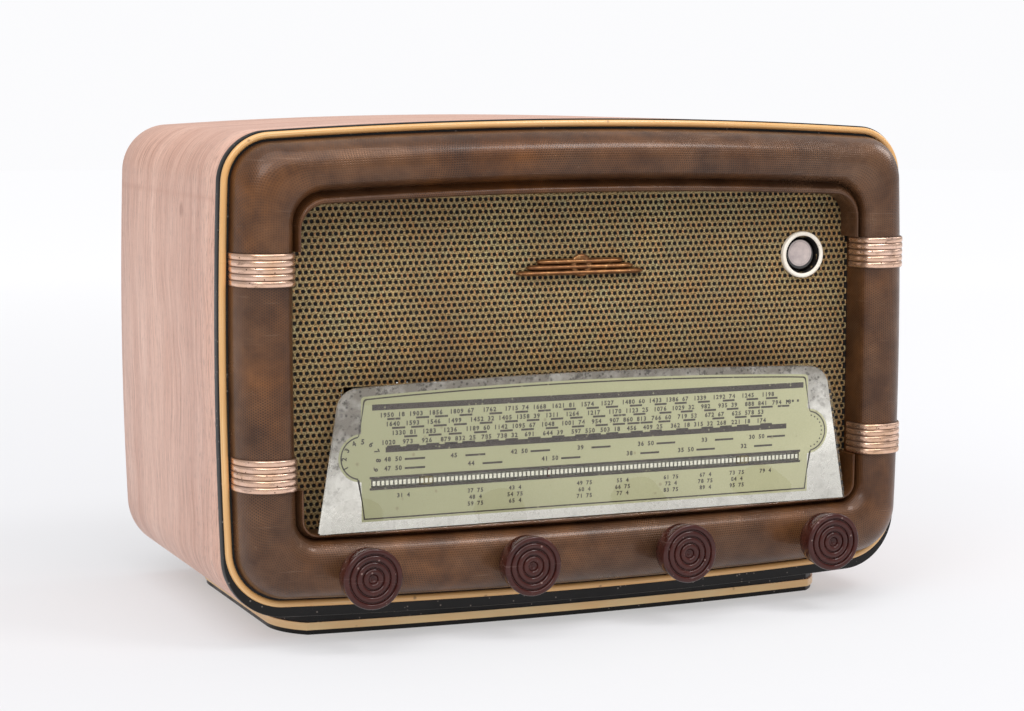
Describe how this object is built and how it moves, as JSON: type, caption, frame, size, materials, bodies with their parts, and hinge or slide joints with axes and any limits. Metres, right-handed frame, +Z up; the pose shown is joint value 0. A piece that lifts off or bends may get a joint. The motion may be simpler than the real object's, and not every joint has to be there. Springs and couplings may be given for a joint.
{
  "type": "tabletop valve radio",
  "caption": "Tabletop valve radio: veneered cabinet with a bowed bronze front moulding, woven grille, glass tuning dial, tuning indicator and ringed control knobs.",
  "frame": {"origin": "middle of the flat underside of the plinth", "axes": "+X to the right seen from the front, +Y to the back, +Z up"},
  "size_m": [0.5, 0.3212, 0.338],
  "materials": {
    "walnut_veneer": "satin",
    "black_lacquer": "satin",
    "cream_trim": "satin",
    "bronze_moulding": "embossed, rubbed",
    "clip_metal": "ribbed, polished",
    "board": "plain",
    "grille_weave": "woven, perforated",
    "ivory_plastic": "gloss",
    "dark_tube_glass": "frosted face",
    "clear_glass": "clear",
    "sheet_steel": "plated",
    "sage_print": "printed",
    "silvering": "aged",
    "white_paint": "matt",
    "pointer_red": "satin",
    "cord_linen": "twisted",
    "pulley_resin": "satin",
    "bakelite": "moulded",
    "brass_turned": "turned",
    "dark_housing": "satin",
    "laminate": "pressed paper laminate",
    "aluminium": "rolled",
    "rubber_black": "matt",
    "transformer_iron": "varnished",
    "paper_cone": "felted",
    "fibreboard": "pressed"
  },
  "bodies": {
    "cabinet": {"wood_shell": "walnut_veneer", "front_frame": "black_lacquer", "trim_piping": "cream_trim", "bezel_top": "bronze_moulding", "bezel_bottom": "bronze_moulding", "bezel_left": "bronze_moulding", "bezel_right": "bronze_moulding", "bezel_clips": "clip_metal", "baffle_board": "board", "grille_cloth": "grille_weave", "eye_ring": "ivory_plastic", "eye_tube": "dark_tube_glass", "eye_bracket": "sheet_steel", "trim_bar": "bronze_moulding", "dial_glass": "clear_glass", "dial_panel": "sage_print", "dial_mirror": "silvering", "dial_backplate": "white_paint", "dial_lamps": "clear_glass", "pointer_rail": "sheet_steel", "drive_cord": "cord_linen", "tuning_bush": "brass_turned", "volume_control": "dark_housing", "tone_control": "dark_housing", "band_switch": "laminate", "gang_frame": "sheet_steel", "gang_stator": "aluminium", "chassis": "sheet_steel", "chassis_mounts": "rubber_black", "mains_transformer": "transformer_iron", "output_transformer": "transformer_iron", "if_cans": "aluminium", "valve_sockets": "laminate", "valves": "clear_glass", "filter_capacitor": "aluminium", "speaker_basket": "dark_housing", "speaker_magnet": "transformer_iron", "back_panel": "fibreboard", "back_screws": "brass_turned", "back_battens": "board", "rear_sockets": "laminate", "cord_grommet": "rubber_black", "plinth": "black_lacquer", "plinth_stripe": "cream_trim"},
    "volume": {"knob_volume": "bakelite", "volume_shaft": "sheet_steel"},
    "tone": {"knob_tone": "bakelite", "tone_shaft": "sheet_steel"},
    "band": {"knob_band": "bakelite", "band_shaft": "sheet_steel"},
    "tuning": {"knob_tuning": "bakelite", "tuning_spindle": "sheet_steel"},
    "gang": {"drive_drum": "aluminium", "gang_rotor": "aluminium"},
    "pointer": {"pointer": "pointer_red"},
    "idler_left": {"pulley_left": "pulley_resin"},
    "idler_right": {"pulley_right": "pulley_resin"},
    "cone": {"speaker_cone": "paper_cone"}
  },
  "joints": [
    {"name": "volume_turn", "type": "hinge", "parent": "cabinet", "child": "volume", "pos_m": [-0.1662, 0, 0.0496], "axis": [0, 1, 0], "range_deg": [-120, 180]},
    {"name": "tone_turn", "type": "hinge", "parent": "cabinet", "child": "tone", "pos_m": [-0.0566, 0, 0.0496], "axis": [0, 1, 0], "range_deg": [-135, 135]},
    {"name": "band_turn", "type": "hinge", "parent": "cabinet", "child": "band", "pos_m": [0.0566, 0, 0.0496], "axis": [0, 1, 0], "range_deg": [-60, 60]},
    {"name": "tuning_turn", "type": "hinge", "parent": "cabinet", "child": "tuning", "pos_m": [0.1662, 0, 0.0496], "axis": [0, 1, 0], "range_deg": [-1254.48, 1881.71]},
    {"name": "gang_turn", "type": "hinge", "parent": "cabinet", "child": "gang", "pos_m": [0.075, 0, 0.165], "axis": [0, 1, 0], "range_deg": [-71.71, 107.46]},
    {"name": "pointer_travel", "type": "slide", "parent": "cabinet", "child": "pointer", "axis": [1, 0, 0], "range_m": [-0.125, 0.1874]},
    {"name": "idler_left_turn", "type": "hinge", "parent": "cabinet", "child": "idler_left", "pos_m": [-0.177, 0, 0.1493], "axis": [0, 1, 0], "range_deg": [-822.9, 1233.85]},
    {"name": "idler_right_turn", "type": "hinge", "parent": "cabinet", "child": "idler_right", "pos_m": [0.177, 0, 0.1493], "axis": [0, 1, 0], "range_deg": [-822.9, 1233.85]},
    {"name": "cone_travel", "type": "slide", "parent": "cabinet", "child": "cone", "axis": [0, 1, 0], "range_m": [-0.0012, 0.0012], "stiffness_N_per_m": 1500}
  ],
  "couplings": [
    {"joint": "gang_turn", "follows": "tuning_turn", "ratio": 0.057},
    {"joint": "pointer_travel", "follows": "tuning_turn", "m_per_rad": 0.0057},
    {"joint": "idler_left_turn", "follows": "tuning_turn", "ratio": 0.65517},
    {"joint": "idler_right_turn", "follows": "tuning_turn", "ratio": 0.65517}
  ]
}
